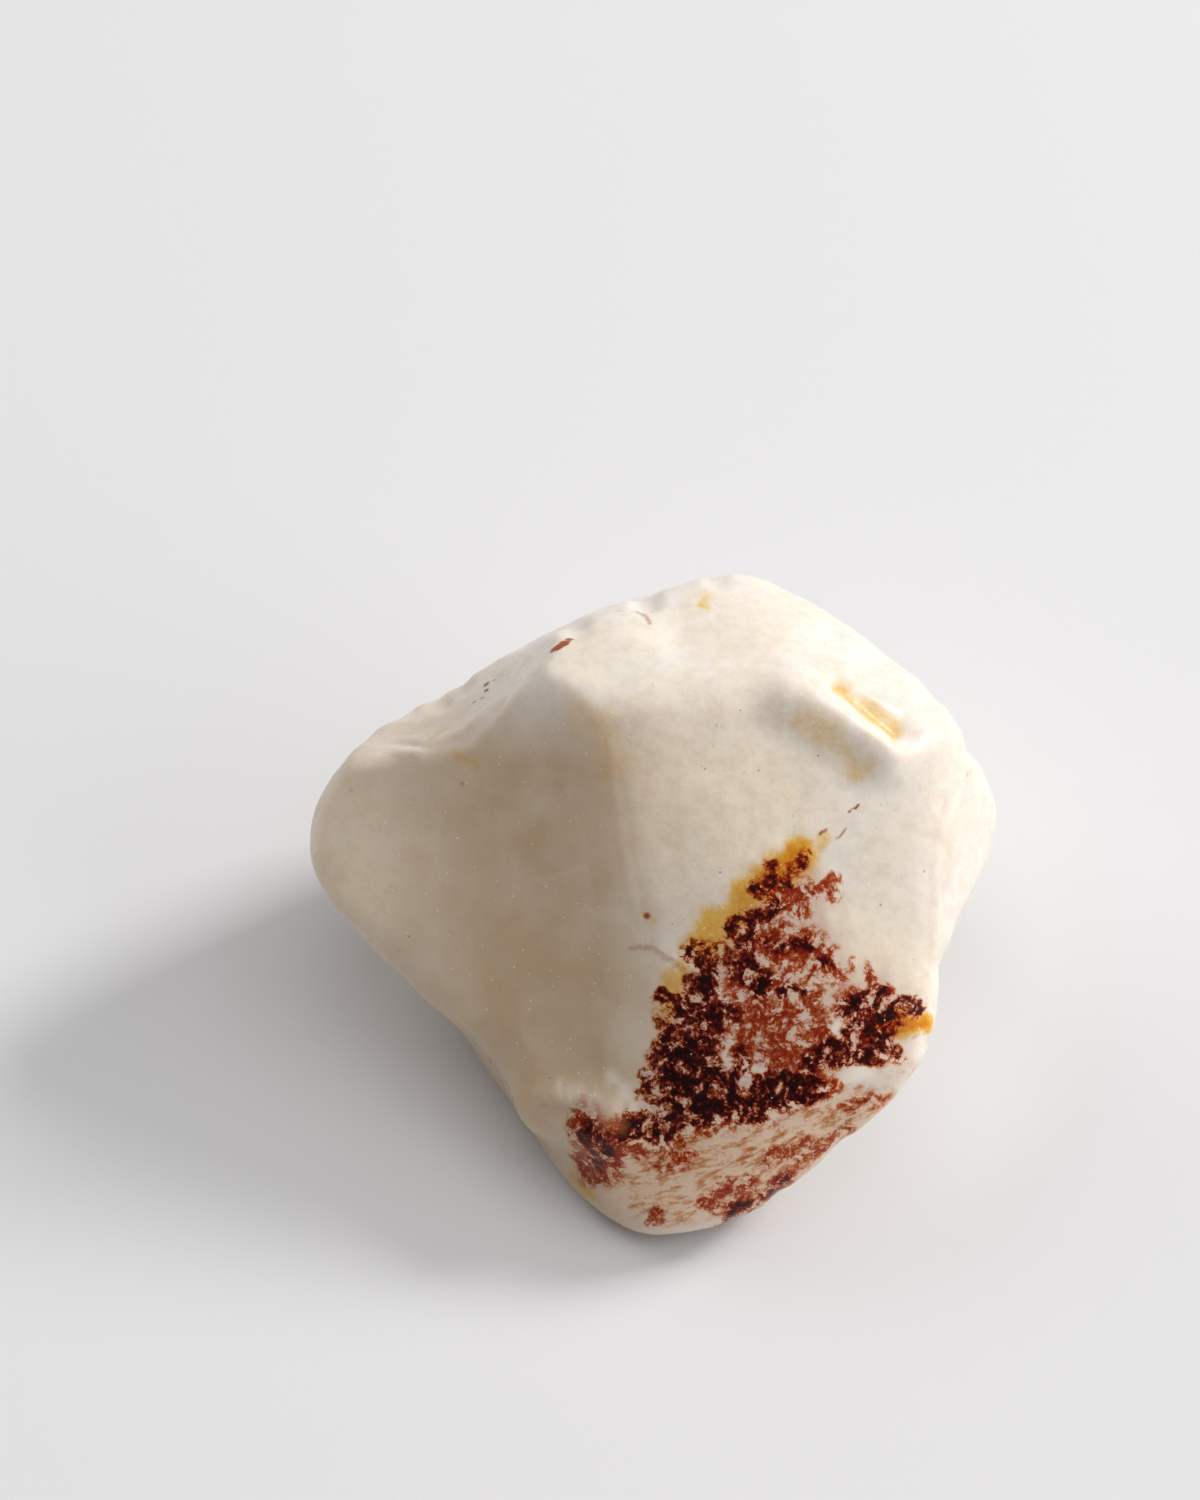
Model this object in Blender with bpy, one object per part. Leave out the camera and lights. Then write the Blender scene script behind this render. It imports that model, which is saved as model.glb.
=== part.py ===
"""Rough opal specimen: one natural stone about 46 mm wide, lying on a small flat rest face.

The stone is worked out in millimetres from its heart, a point inside it, and built in metres
with +Z up. Its rest face is on z = 0 and its box is centred on the Z axis. X runs to the right
of the prow, Y runs to the back. Inclusions and stains are only colour, so nothing here is raised
for them.
"""

import math

import bmesh
import bpy
import numpy as np

# Driving dimensions
MM = 0.001
REST_DEPTH = 14.0
HEART = np.array([0.12, -2.92, REST_DEPTH])
FARTHEST = 45.0
SQUARES_PER_SIDE = 28
HALVINGS = 36
FLAT_LIMIT = 0.01

# Broad faces of the body, in the order they are cut. Each has the bearing and tilt in degrees of
# the way it faces, its reach from the heart in mm, its doming in 1/mm and the softness in mm of
# its edge with the faces before it. Bearing 0 is +X and bearing 90 is +Y.
BODY_FACES = {
    "left crown": (95, 77, 15.8, 0.006, 1.5),
    "right crown": (20, 68, 17.9, 0.006, 1.8),
    "central face": (-86, 52, 6.8, 0.006, 1.5),
    "face left of the ridge": (-137, 31, 6.1, 0.0, 1.0),
    "foot of the ridge": (-111, 41, 6.3, 0.0, 2.5),
    "right face": (-49, 47, 12.4, 0.003, 2.5),
    "far right face": (-26, 27, 17.1, 0.005, 1.0),
    "lower face": (-77, 19, 13.6, 0.004, 1.0),
    "lower right corner": (-26, -17, 20.2, 0.004, 1.5),
    "lower right flank": (-43, -26, 20.1, 0.004, 1.5),
    "lower left flank": (-151, -13, 14.8, 0.004, 2.5),
    "toe": (-92, -30, 24.9, 0.02, 2.5),
    "upper right flank": (45, 27, 23.5, 0.004, 1.5),
    "slope behind the crown": (46, 53, 19.8, 0.004, 1.5),
    "far top": (90, 33, 25.2, 0.012, 2.0),
    "upper left flank": (121, 32, 19.8, 0.005, 1.5),
    "right shoulder": (25, 17, 23.5, 0.004, 1.0),
    "right end": (5, 3, 24.8, 0.01, 1.2),
    "right end below": (-16, -12, 20.1, 0.003, 1.5),
    "left end": (165, 8, 14.0, 0.004, 3.0),
    "back": (92, -5, 23.6, 0.01, 4.0),
    "back right corner": (55, -14, 22.6, 0.008, 3.0),
}

# Broad faces of the prow, the lobe that reaches out to the left
PROW_FACES = {
    "deck": (-103, 53, 3.9, 0.006, 2.0),
    "upper side": (117, 48, 17.9, 0.006, 1.5),
    "lower side": (-129, -23, 14.4, 0.004, 3.0),
    "nose": (-179, 6, 24.9, 0.02, 3.0),
    "nose above": (152, 27, 22.9, 0.01, 2.5),
    "nose below": (-151, -8, 22.3, 0.01, 2.5),
    "inner end": (0, 0, -1.3, 0.0, 3.0),
    "back": (115, 0, 21.4, 0.01, 3.0),
    "underside": (-155, -50, 15.8, 0.01, 4.0),
}
PROW_BLEND = 3.2

# Undercuts and the rest face, cut across both lobes
UNDER_FACES = {
    "right undercut": (-10, -55, 17.5, 0.01, 4.0),
    "front undercut": (-92, -50, 21.4, 0.01, 3.0),
    "back undercut": (90, -50, 20.2, 0.01, 4.0),
    "rest face": (0, -90, REST_DEPTH, 0.0, 2.0),
}

# Shell-like chips, each a ball taken away: bearing and tilt of its middle, distance of the ball's
# centre from the heart, its radius and the softness of its rim, mm
CHIPS = {
    "facet above the prow": (140, 35, 37.2, 19.5, 0.6),
    "hollow in the back": (104, -8, 46.6, 24.0, 3.0),
    "hollow under the right end": (15, -38, 28.8, 10.0, 1.5),
}

# Bay in the right side: an upright-leaning rod taken away
BAY_START = (30.5, 3.6, -14.7)
BAY_END = (30.5, -8.2, 1.5)
BAY_RADIUS = 12.0
BAY_SOFTNESS = 1.0

# Lip on the right of the brow, with the groove above it and the hollow below it
LIP_START = (8.6, 8.8, 12.5)
LIP_END = (14.5, 6.2, 10.2)
LIP_RADII = (1.0, 1.3)
LIP_BLEND = 2.4
GROOVE_START = (12.2, 9.3, 14.5)
GROOVE_END = (16.2, 7.4, 12.3)
GROOVE_RADII = (1.3, 1.8)
GROOVE_SOFTNESS = 1.2
HOLLOW_START = (10.6, 4.3, 13.8)
HOLLOW_END = (14.1, 3.0, 12.1)
HOLLOW_RADII = (1.0, 1.3)
HOLLOW_SOFTNESS = 1.6

# Low fold above the toe
FOLD_START = (-7.4, -10.3, -7.2)
FOLD_END = (-3.7, -12.8, -6.3)
FOLD_RADII = (1.6, 0.9)
FOLD_BLEND = 3.5

# Opal
OPAL_COLOUR = (0.80, 0.73, 0.63, 1.0)
OPAL_ROUGHNESS = 0.28
OPAL_METALLIC = 0.0


def direction(bearing, tilt):
    """Unit vector for a bearing and a tilt in degrees."""
    turn = math.radians(bearing)
    lift = math.radians(tilt)
    return np.array([math.cos(lift) * math.cos(turn), math.cos(lift) * math.sin(turn), math.sin(lift)])


def soft_max(first, second, softness):
    """The larger of two distances, rounded over where they cross."""
    overlap = np.maximum(softness - np.abs(first - second), 0.0) / softness
    return np.maximum(first, second) + overlap * overlap * softness / 4


def soft_min(first, second, softness):
    """The smaller of two distances, filled in where they cross."""
    return -soft_max(-first, -second, softness)


def face(points, bearing, tilt, reach, doming):
    """Distance outside one broad, slightly domed face."""
    outward = direction(bearing, tilt)
    rise = points @ outward
    aside_squared = np.sum(points * points, axis=1) - rise * rise
    return rise - reach + doming * aside_squared / 2


def faceted(points, faces):
    """Distance outside the body that a set of broad faces encloses."""
    distance = np.full(len(points), -FARTHEST)
    for bearing, tilt, reach, doming, softness in faces.values():
        distance = soft_max(distance, face(points, bearing, tilt, reach, doming), softness)
    return distance


def ball(points, bearing, tilt, away, radius):
    """Distance outside a ball."""
    centre = direction(bearing, tilt) * away
    return np.linalg.norm(points - centre, axis=1) - radius


def rod(points, start, end, start_radius, end_radius):
    """Distance outside a round-ended rod that tapers."""
    start = np.array(start)
    axis = np.array(end) - start
    along = np.clip((points - start) @ axis / (axis @ axis), 0.0, 1.0)
    nearest = start + along[:, None] * axis
    radius = start_radius + (end_radius - start_radius) * along
    return np.linalg.norm(points - nearest, axis=1) - radius


def brow(distance, points):
    """Lip, groove and hollow on the right of the brow."""
    lip = rod(points, LIP_START, LIP_END, *LIP_RADII)
    distance = soft_min(distance, lip, LIP_BLEND)
    groove = rod(points, GROOVE_START, GROOVE_END, *GROOVE_RADII)
    distance = soft_max(distance, -groove, GROOVE_SOFTNESS)
    hollow = rod(points, HOLLOW_START, HOLLOW_END, *HOLLOW_RADII)
    return soft_max(distance, -hollow, HOLLOW_SOFTNESS)


def stone(points):
    """Distance outside the whole stone, for points in mm from its heart."""
    distance = faceted(points, BODY_FACES)
    distance = soft_min(distance, faceted(points, PROW_FACES), PROW_BLEND)
    for bearing, tilt, away, radius, softness in CHIPS.values():
        distance = soft_max(distance, -ball(points, bearing, tilt, away, radius), softness)
    bay = rod(points, BAY_START, BAY_END, BAY_RADIUS, BAY_RADIUS)
    distance = soft_max(distance, -bay, BAY_SOFTNESS)
    distance = brow(distance, points)
    fold = rod(points, FOLD_START, FOLD_END, *FOLD_RADII)
    distance = soft_min(distance, fold, FOLD_BLEND)
    for bearing, tilt, reach, doming, softness in UNDER_FACES.values():
        distance = soft_max(distance, face(points, bearing, tilt, reach, doming), softness)
    return distance


def skin(rays):
    """Points of the stone's surface along rays from the heart, found by halving."""
    inner = np.zeros(len(rays))
    outer = np.full(len(rays), FARTHEST)
    for _ in range(HALVINGS):
        middle = (inner + outer) / 2
        inside = stone(rays * middle[:, None]) < 0
        inner = np.where(inside, middle, inner)
        outer = np.where(inside, outer, middle)
    points = HEART + rays * outer[:, None]
    points[np.abs(points[:, 2]) < FLAT_LIMIT, 2] = 0.0
    return points


def opal_material():
    """Warm milky opal with a waxy gloss."""
    material = bpy.data.materials.new("milky_opal")
    material.use_nodes = True
    shader = material.node_tree.nodes["Principled BSDF"]
    shader.inputs["Base Color"].default_value = OPAL_COLOUR
    shader.inputs["Roughness"].default_value = OPAL_ROUGHNESS
    shader.inputs["Metallic"].default_value = OPAL_METALLIC
    material.diffuse_color = OPAL_COLOUR
    return material


def opal_stone():
    """The stone: a finely divided cube whose corners are all pushed out to the skin."""
    shape = bmesh.new()
    bmesh.ops.create_cube(shape, size=2.0)
    bmesh.ops.subdivide_edges(shape, edges=shape.edges, cuts=SQUARES_PER_SIDE - 1, use_grid_fill=True)
    rays = np.tan(np.array([corner.co for corner in shape.verts]) * math.pi / 4)
    rays /= np.linalg.norm(rays, axis=1)[:, None]
    for corner, point in zip(shape.verts, skin(rays)):
        corner.co = point * MM
    bmesh.ops.triangulate(shape, faces=shape.faces, quad_method="SHORT_EDGE")
    mesh = bpy.data.meshes.new("opal_stone")
    shape.to_mesh(mesh)
    shape.free()
    mesh.shade_smooth()
    stone_object = bpy.data.objects.new("opal_stone", mesh)
    stone_object.data.materials.append(opal_material())
    bpy.context.collection.objects.link(stone_object)
    return stone_object


for leftover in list(bpy.data.objects):
    bpy.data.objects.remove(leftover)
opal_stone()
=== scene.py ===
import math

import bpy
import numpy as np
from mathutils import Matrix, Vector


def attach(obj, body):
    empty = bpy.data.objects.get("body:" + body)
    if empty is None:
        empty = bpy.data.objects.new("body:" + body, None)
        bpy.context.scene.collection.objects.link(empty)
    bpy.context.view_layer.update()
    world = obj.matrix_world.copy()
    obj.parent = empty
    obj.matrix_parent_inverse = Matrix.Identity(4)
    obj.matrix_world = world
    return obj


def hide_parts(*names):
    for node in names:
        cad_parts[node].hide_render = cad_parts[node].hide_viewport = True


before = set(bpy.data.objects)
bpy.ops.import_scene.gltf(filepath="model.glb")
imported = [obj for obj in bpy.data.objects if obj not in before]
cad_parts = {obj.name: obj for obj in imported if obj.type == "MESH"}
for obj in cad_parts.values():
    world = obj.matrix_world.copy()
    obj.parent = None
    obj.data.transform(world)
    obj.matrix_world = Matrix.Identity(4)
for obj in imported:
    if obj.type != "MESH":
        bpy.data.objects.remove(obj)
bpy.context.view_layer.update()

# The opal
# The real thing is one rough lump of milky opal, broken from a seam and worn to broad waxy faces.
# It lies on its underside with a prow to the left, and nothing is fixed to it.

MM = 0.001
REST_DEPTH = 14.0
HEART = np.array([0.12, -2.92, REST_DEPTH])
FARTHEST = 45.0
HALVINGS = 26
SQUARES_PER_SIDE = 127
NEARER_SHARE = 0.02

# Broad faces of the body: bearing and tilt in degrees of the way each faces, its reach from the
# heart in mm, its doming in 1/mm, and the softness in mm of its edge with the faces before it
BODY_FACES = {
    "left crown": (95, 77, 15.8, 0.006, 1.5),
    "right crown": (20, 68, 17.9, 0.006, 1.8),
    "central face": (-86, 52, 6.8, 0.006, 1.5),
    "face left of the ridge": (-137, 31, 6.1, 0.0, 1.0),
    "foot of the ridge": (-111, 41, 6.3, 0.0, 2.5),
    "right face": (-49, 47, 12.4, 0.003, 2.5),
    "far right face": (-26, 27, 17.1, 0.005, 1.0),
    "lower face": (-77, 19, 13.6, 0.004, 1.0),
    "lower right corner": (-26, -17, 20.2, 0.004, 1.5),
    "lower right flank": (-43, -26, 20.1, 0.004, 1.5),
    "lower left flank": (-151, -13, 14.8, 0.004, 2.5),
    "toe": (-92, -30, 24.9, 0.02, 2.5),
    "upper right flank": (45, 27, 23.5, 0.004, 1.5),
    "slope behind the crown": (46, 53, 19.8, 0.004, 1.5),
    "far top": (90, 33, 25.2, 0.012, 2.0),
    "upper left flank": (121, 32, 19.8, 0.005, 1.5),
    "right shoulder": (25, 17, 23.5, 0.004, 1.0),
    "right end": (5, 3, 24.8, 0.01, 1.2),
    "right end below": (-16, -12, 20.1, 0.003, 1.5),
    "left end": (165, 8, 14.0, 0.004, 3.0),
    "back": (92, -5, 23.6, 0.01, 4.0),
    "back right corner": (55, -14, 22.6, 0.008, 3.0),
}

# Broad faces of the prow, the lobe that reaches out to the left
PROW_FACES = {
    "deck": (-103, 53, 3.9, 0.006, 2.0),
    "upper side": (117, 48, 17.9, 0.006, 1.5),
    "lower side": (-129, -23, 14.4, 0.004, 3.0),
    "nose": (-179, 6, 24.9, 0.02, 3.0),
    "nose above": (152, 27, 22.9, 0.01, 2.5),
    "nose below": (-151, -8, 22.3, 0.01, 2.5),
    "inner end": (0, 0, -1.3, 0.0, 3.0),
    "back": (115, 0, 21.4, 0.01, 3.0),
    "underside": (-155, -50, 15.8, 0.01, 4.0),
}
PROW_BLEND = 3.2

# Undercuts and the rest face
UNDER_FACES = {
    "right undercut": (-10, -55, 17.5, 0.01, 4.0),
    "front undercut": (-92, -50, 21.4, 0.01, 3.0),
    "back undercut": (90, -50, 20.2, 0.01, 4.0),
    "rest face": (0, -90, REST_DEPTH, 0.0, 2.0),
}

# Shell-like chips, each a ball taken away: bearing, tilt, distance of its centre, radius, rim softness
CHIPS = {
    "facet above the prow": (140, 35, 37.2, 19.5, 0.6),
    "hollow in the back": (104, -8, 46.6, 24.0, 3.0),
    "hollow under the right end": (15, -38, 28.8, 10.0, 1.5),
}

# Bay in the right side, then the lip on the right of the brow with its groove and hollow, and the
# low fold above the toe: ends of each rod in mm from the heart, and its radii
BAY = ((30.5, 3.6, -14.7), (30.5, -8.2, 1.5), 12.0, 12.0)
BAY_SOFTNESS = 1.0
LIP = ((8.6, 8.8, 12.5), (14.5, 6.2, 10.2), 1.0, 1.3)
LIP_BLEND = 2.4
GROOVE = ((12.2, 9.3, 14.5), (16.2, 7.4, 12.3), 1.3, 1.8)
GROOVE_SOFTNESS = 1.2
HOLLOW = ((10.6, 4.3, 13.8), (14.1, 3.0, 12.1), 1.0, 1.3)
HOLLOW_SOFTNESS = 1.6
FOLD = ((-7.4, -10.3, -7.2), (-3.7, -12.8, -6.3), 1.6, 0.9)
FOLD_BLEND = 3.5

# The chart looks square at the front faces, 54 degrees above level: places on it are mm to the
# right of the heart and mm up the slope
CHART_TILT = 54.0
CHART_RIGHT = np.array([1.0, 0.0, 0.0])
CHART_UP = np.array([0.0, math.sin(math.radians(CHART_TILT)), math.cos(math.radians(CHART_TILT))])
CHART_OUT = np.array([0.0, -math.cos(math.radians(CHART_TILT)), math.sin(math.radians(CHART_TILT))])


def direction(bearing, tilt):
    """Unit vector for a bearing and a tilt in degrees."""
    turn = math.radians(bearing)
    lift = math.radians(tilt)
    return np.array([math.cos(lift) * math.cos(turn), math.cos(lift) * math.sin(turn), math.sin(lift)])


def soft_max(first, second, softness):
    """The larger of two distances, rounded over where they cross."""
    overlap = np.maximum(softness - np.abs(first - second), 0.0) / softness
    return np.maximum(first, second) + overlap * overlap * softness / 4


def soft_min(first, second, softness):
    """The smaller of two distances, filled in where they cross."""
    return -soft_max(-first, -second, softness)


def face(points, bearing, tilt, reach, doming):
    """Distance outside one broad face: rise along its direction, less its reach, plus its doming."""
    outward = direction(bearing, tilt)
    rise = points @ outward
    aside_squared = np.sum(points * points, axis=1) - rise * rise
    return rise - reach + doming * aside_squared / 2


def faceted(points, faces):
    """Distance outside the body that a set of broad faces encloses."""
    distance = np.full(len(points), -FARTHEST)
    for bearing, tilt, reach, doming, softness in faces.values():
        distance = soft_max(distance, face(points, bearing, tilt, reach, doming), softness)
    return distance


def rod(points, start, end, start_radius, end_radius):
    """Distance outside a round-ended rod that tapers: how far to its axis, less its radius there."""
    start = np.array(start)
    axis = np.array(end) - start
    along = np.clip((points - start) @ axis / (axis @ axis), 0.0, 1.0)
    nearest = start + along[:, None] * axis
    return np.linalg.norm(points - nearest, axis=1) - start_radius - (end_radius - start_radius) * along


def stone(points):
    """Distance outside the whole stone, for points in mm from its heart."""
    distance = faceted(points, BODY_FACES)
    distance = soft_min(distance, faceted(points, PROW_FACES), PROW_BLEND)
    for bearing, tilt, away, radius, softness in CHIPS.values():
        centre = direction(bearing, tilt) * away
        distance = soft_max(distance, radius - np.linalg.norm(points - centre, axis=1), softness)
    distance = soft_max(distance, -rod(points, *BAY), BAY_SOFTNESS)
    distance = soft_min(distance, rod(points, *LIP), LIP_BLEND)
    distance = soft_max(distance, -rod(points, *GROOVE), GROOVE_SOFTNESS)
    distance = soft_max(distance, -rod(points, *HOLLOW), HOLLOW_SOFTNESS)
    distance = soft_min(distance, rod(points, *FOLD), FOLD_BLEND)
    for bearing, tilt, reach, doming, softness in UNDER_FACES.values():
        distance = soft_max(distance, face(points, bearing, tilt, reach, doming), softness)
    return distance


def skin(rays):
    """Distance in mm from the heart to the stone's surface along each ray, found by halving."""
    inner = np.zeros(len(rays))
    outer = np.full(len(rays), FARTHEST)
    for _ in range(HALVINGS):
        middle = (inner + outer) / 2
        inside = stone(rays * middle[:, None]) < 0
        inner = np.where(inside, middle, inner)
        outer = np.where(inside, outer, middle)
    return outer


def hashed(x, y, z, seed):
    """A fixed number from -1 to 1 for each corner of a cubic lattice, by mixing whole numbers."""
    mixed = (x * 374761393 + y * 668265263 + z * 1442695041 + seed * 1013904223) & 0x7FFFFFFF
    mixed = ((mixed ^ (mixed >> 13)) * 1274126177) & 0x7FFFFFFF
    return ((mixed ^ (mixed >> 16)) & 0xFFFF) / 32767.5 - 1.0


def swell(points, size, seed):
    """Smooth random relief from -1 to 1 with lumps of one size: lattice values blended between corners."""
    placed = points / size + 100.0
    cell = np.floor(placed).astype(np.int64)
    part = placed - cell
    part = part * part * part * (part * (part * 6 - 15) + 10)
    total = np.zeros(len(points))
    for corner in range(8):
        step = np.array([corner & 1, corner >> 1 & 1, corner >> 2])
        weight = np.prod(np.where(step == 1, part, 1 - part), axis=1)
        x, y, z = (cell + step).T
        total += weight * hashed(x, y, z, seed)
    return total


def cube_sphere(squares):
    """Rays through an even grid on all six sides of a cube, with the grid's faces.

    Each side is a grid of two angles, and a ray is the cube point at the tangents of its angles.
    Grid corners shared by two or three sides are one ray.
    """
    steps = np.arange(squares + 1)
    first, second = np.meshgrid(steps, steps, indexing="ij")
    full = np.full_like(first, squares)
    none = np.zeros_like(first)
    sides = [
        (full, first, second), (none, second, first),
        (second, full, first), (first, none, second),
        (first, second, full), (second, first, none),
    ]
    corners = np.concatenate([np.stack(side, axis=-1).reshape(-1, 3) for side in sides])
    keys = (corners[:, 0] * (squares + 1) + corners[:, 1]) * (squares + 1) + corners[:, 2]
    _, kept, shared = np.unique(keys, return_index=True, return_inverse=True)
    rays = np.tan((corners[kept] / squares * 2 - 1) * math.pi / 4)
    rays /= np.linalg.norm(rays, axis=1)[:, None]
    place = shared.reshape(6, squares + 1, squares + 1)
    quads = np.stack([place[:, :-1, :-1], place[:, 1:, :-1], place[:, 1:, 1:], place[:, :-1, 1:]], axis=-1)
    return rays, quads.reshape(-1, 4)


def chart(points):
    """Chart places of points: mm right, mm up the slope, and mm out towards the viewer."""
    return points @ CHART_RIGHT, points @ CHART_UP, points @ CHART_OUT


def bump(distance, radius):
    """A smooth hill, 1 at its middle and 0 from its radius outwards."""
    rest = np.clip(1 - (distance / radius) ** 2, 0.0, 1.0)
    return rest * rest


def line_distance(right, up, route):
    """Distance in mm on the chart to a route of straight stretches."""
    nearest = np.full(len(right), 1e3)
    for (x0, y0), (x1, y1) in zip(route[:-1], route[1:]):
        dx, dy = x1 - x0, y1 - y0
        along = np.clip(((right - x0) * dx + (up - y0) * dy) / (dx * dx + dy * dy), 0.0, 1.0)
        nearest = np.minimum(nearest, np.hypot(right - x0 - along * dx, up - y0 - along * dy))
    return nearest


def inside_depth(right, up, outline):
    """Distance in mm on the chart inside a closed outline, negative outside it."""
    depth = line_distance(right, up, outline + outline[:1])
    inside = np.zeros(len(right), bool)
    for (x0, y0), (x1, y1) in zip(outline, outline[1:] + outline[:1]):
        crosses = (y0 > up) != (y1 > up)
        meets = x0 + (up - y0) * (x1 - x0) / (y1 - y0 + 1e-9)
        inside ^= crosses & (right < meets)
    return np.where(inside, depth, -depth)


def foremost(place_right, place_up):
    """Index of the skin point nearest a chart place, where a mm further out counts for a little."""
    return np.argmin(np.hypot(right - place_right, up - place_up) - NEARER_SHARE * out)


rays, quads = cube_sphere(SQUARES_PER_SIDE)
reach = skin(rays)
skin_points = rays * reach[:, None]
right, up, out = chart(skin_points)

# Shares of the front and of the back, which fade out into each other round the outline
front = np.clip((out + 3.0) / 3.0, 0.0, 1.0)
behind = np.clip((-out - 1.0) / 4.0, 0.0, 1.0)

# Relief: slow swells all over and finer ones on top, as lump size and height in mm, and seed
SWELLS = ((6.5, 0.17, 1), (3.1, 0.075, 2), (1.5, 0.03, 3), (0.8, 0.012, 4))
relief = np.zeros(len(skin_points))
for size, height, seed in SWELLS:
    relief += height * swell(skin_points, size, seed)

# Shell ripples of the broken back, which is rougher by a share: bearing, tilt and distance of their
# middle, radius and width of the band they cover, spacing and height in mm
ROUGHER_BACK = 0.7
RIPPLES = (
    (118, 4, 33.0, 15.0, 7.0, 2.6, 0.07),
    (38, -24, 31.0, 13.0, 6.0, 2.1, 0.06),
    (160, -38, 28.0, 14.0, 5.0, 2.3, 0.05),
)
for bearing, tilt, away, radius, width, spacing, height in RIPPLES:
    spread_out = np.linalg.norm(skin_points - direction(bearing, tilt) * away, axis=1)
    spread_out += 0.5 * swell(skin_points, 4.0, 6)
    wave = np.sin(2 * math.pi * spread_out / spacing)
    relief += height * behind * wave * bump(spread_out - radius, width)
relief *= 1.0 + ROUGHER_BACK * behind

# Edge chips along the outline, as chart places, radius and depth in mm, each a few mm long from
# front to back
CHIP_LENGTH = 6.0
EDGE_CHIPS = (
    (15.9, -13.4, 1.3, 0.25), (12.6, -16.0, 2.0, 0.30), (8.0, -18.9, 1.4, 0.28), (5.0, -20.6, 1.1, 0.22),
    (18.4, -9.2, 1.6, 0.35), (-14.9, 14.5, 1.4, 0.40), (-0.9, 21.2, 1.5, 0.55), (3.8, 22.5, 1.2, 0.25),
    (20.6, 11.0, 1.3, 0.35), (-21.0, -1.0, 1.6, 0.22), (-8.6, -15.6, 1.6, 0.25), (14.3, 17.0, 1.7, 0.32),
    (17.8, 14.4, 1.5, 0.35), (11.6, 19.0, 1.4, 0.25), (-13.6, 15.6, 1.3, 0.35), (-5.6, 19.2, 1.5, 0.35),
    (18.7, -3.4, 1.6, 0.30), (-17.6, -4.8, 1.5, 0.22), (-12.8, -8.4, 1.6, 0.30),
)
for place_right, place_up, radius, depth in EDGE_CHIPS:
    shallow = bump(out - out[foremost(place_right, place_up)], CHIP_LENGTH)
    relief -= depth * shallow * bump(np.hypot(right - place_right, up - place_up), radius)

# Fine lines and seams seen on the front, raised or sunk: route, width and height in mm
SEAMS = (
    (((-18.3, 12.0), (-15.4, 11.5), (-13.0, 12.1), (-11.3, 13.7), (-9.7, 15.9), (-8.8, 17.2)), 0.45, 0.24),
    (((-18.0, 11.5), (-15.3, 11.0), (-12.7, 11.6), (-11.0, 13.1), (-9.3, 15.4)), 0.35, -0.18),
    (((-17.6, 11.0), (-15.0, 10.4), (-12.3, 11.0), (-10.4, 12.6), (-8.7, 15.0)), 0.55, 0.20),
    (((9.6, 14.3), (12.0, 12.6), (14.2, 11.0)), 1.10, 0.30),
    (((11.6, 15.3), (13.6, 13.8), (15.6, 12.1)), 0.80, -0.34),
    (((-3.4, 11.6), (-3.1, 8.0), (-2.4, 4.0), (-1.6, 0.0)), 0.55, 0.07),
    (((-22.8, 4.0), (-22.0, 7.4), (-20.6, 9.6)), 0.8, 0.20),
    (((-22.0, 2.0), (-21.2, 6.0), (-19.8, 9.0)), 0.6, -0.13),
    (((20.5, 9.7), (19.0, 7.0), (18.3, 4.6), (18.0, 0.0), (18.0, -2.6)), 0.5, 0.10),
    (((20.7, 9.7), (19.9, 8.6), (19.0, 7.7), (18.7, 7.1), (18.5, 6.3)), 0.25, -0.08),
    (((-7.6, -11.2), (-5.3, -11.6), (-3.4, -12.9)), 0.95, 0.42),
    (((-8.0, -12.8), (-5.6, -13.1), (-4.2, -14.2)), 0.60, -0.22),
    (((-3.0, -11.4), (-2.4, -12.8), (-2.6, -13.8)), 0.50, -0.20),
    (((5.4, -13.6), (9.4, -12.2), (12.8, -10.4), (16.8, -8.2)), 0.7, 0.12),
)
for route, width, height in SEAMS:
    relief += height * front * bump(line_distance(right, up, list(route)), width)

# Ledges: a route with its left side raised, the step's width and the reach and height of the rise, mm
LEDGES = (
    (((-2.2, -13.8), (-4.0, -12.2), (-6.0, -11.2), (-7.8, -11.2)), 0.6, 2.6, 0.30),
    (((18.0, -8.2), (13.0, -10.0), (9.0, -11.6)), 0.4, 2.0, 0.22),
    (((-9.0, 16.6), (-10.6, 14.0), (-12.6, 12.2), (-15.0, 11.4), (-18.6, 11.4)), 0.4, 1.5, 0.28),
)
for route, step, rise_reach, height in LEDGES:
    away = line_distance(right, up, list(route))
    nearest_side = np.full(len(right), 1e3)
    side = np.zeros(len(right))
    for (x0, y0), (x1, y1) in zip(route[:-1], route[1:]):
        stretch = line_distance(right, up, [(x0, y0), (x1, y1)])
        turned = (x1 - x0) * (up - y0) - (y1 - y0) * (right - x0)
        side = np.where(stretch < nearest_side, np.sign(turned), side)
        nearest_side = np.minimum(nearest_side, stretch)
    rise = np.clip(away * side / step, 0.0, 1.0)
    relief += height * front * rise * rise * (3 - 2 * rise) * bump(away, rise_reach)

# The rest face stays flat: relief fades out near it, and nothing goes below it
clear_of_rest = np.clip((skin_points[:, 2] + REST_DEPTH) / 2.5, 0.0, 1.0)
points = rays * (reach + relief * clear_of_rest)[:, None] + HEART
points[:, 2] = np.maximum(points[:, 2], 0.0)
points[np.abs(points[:, 2]) < 0.01, 2] = 0.0

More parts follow.
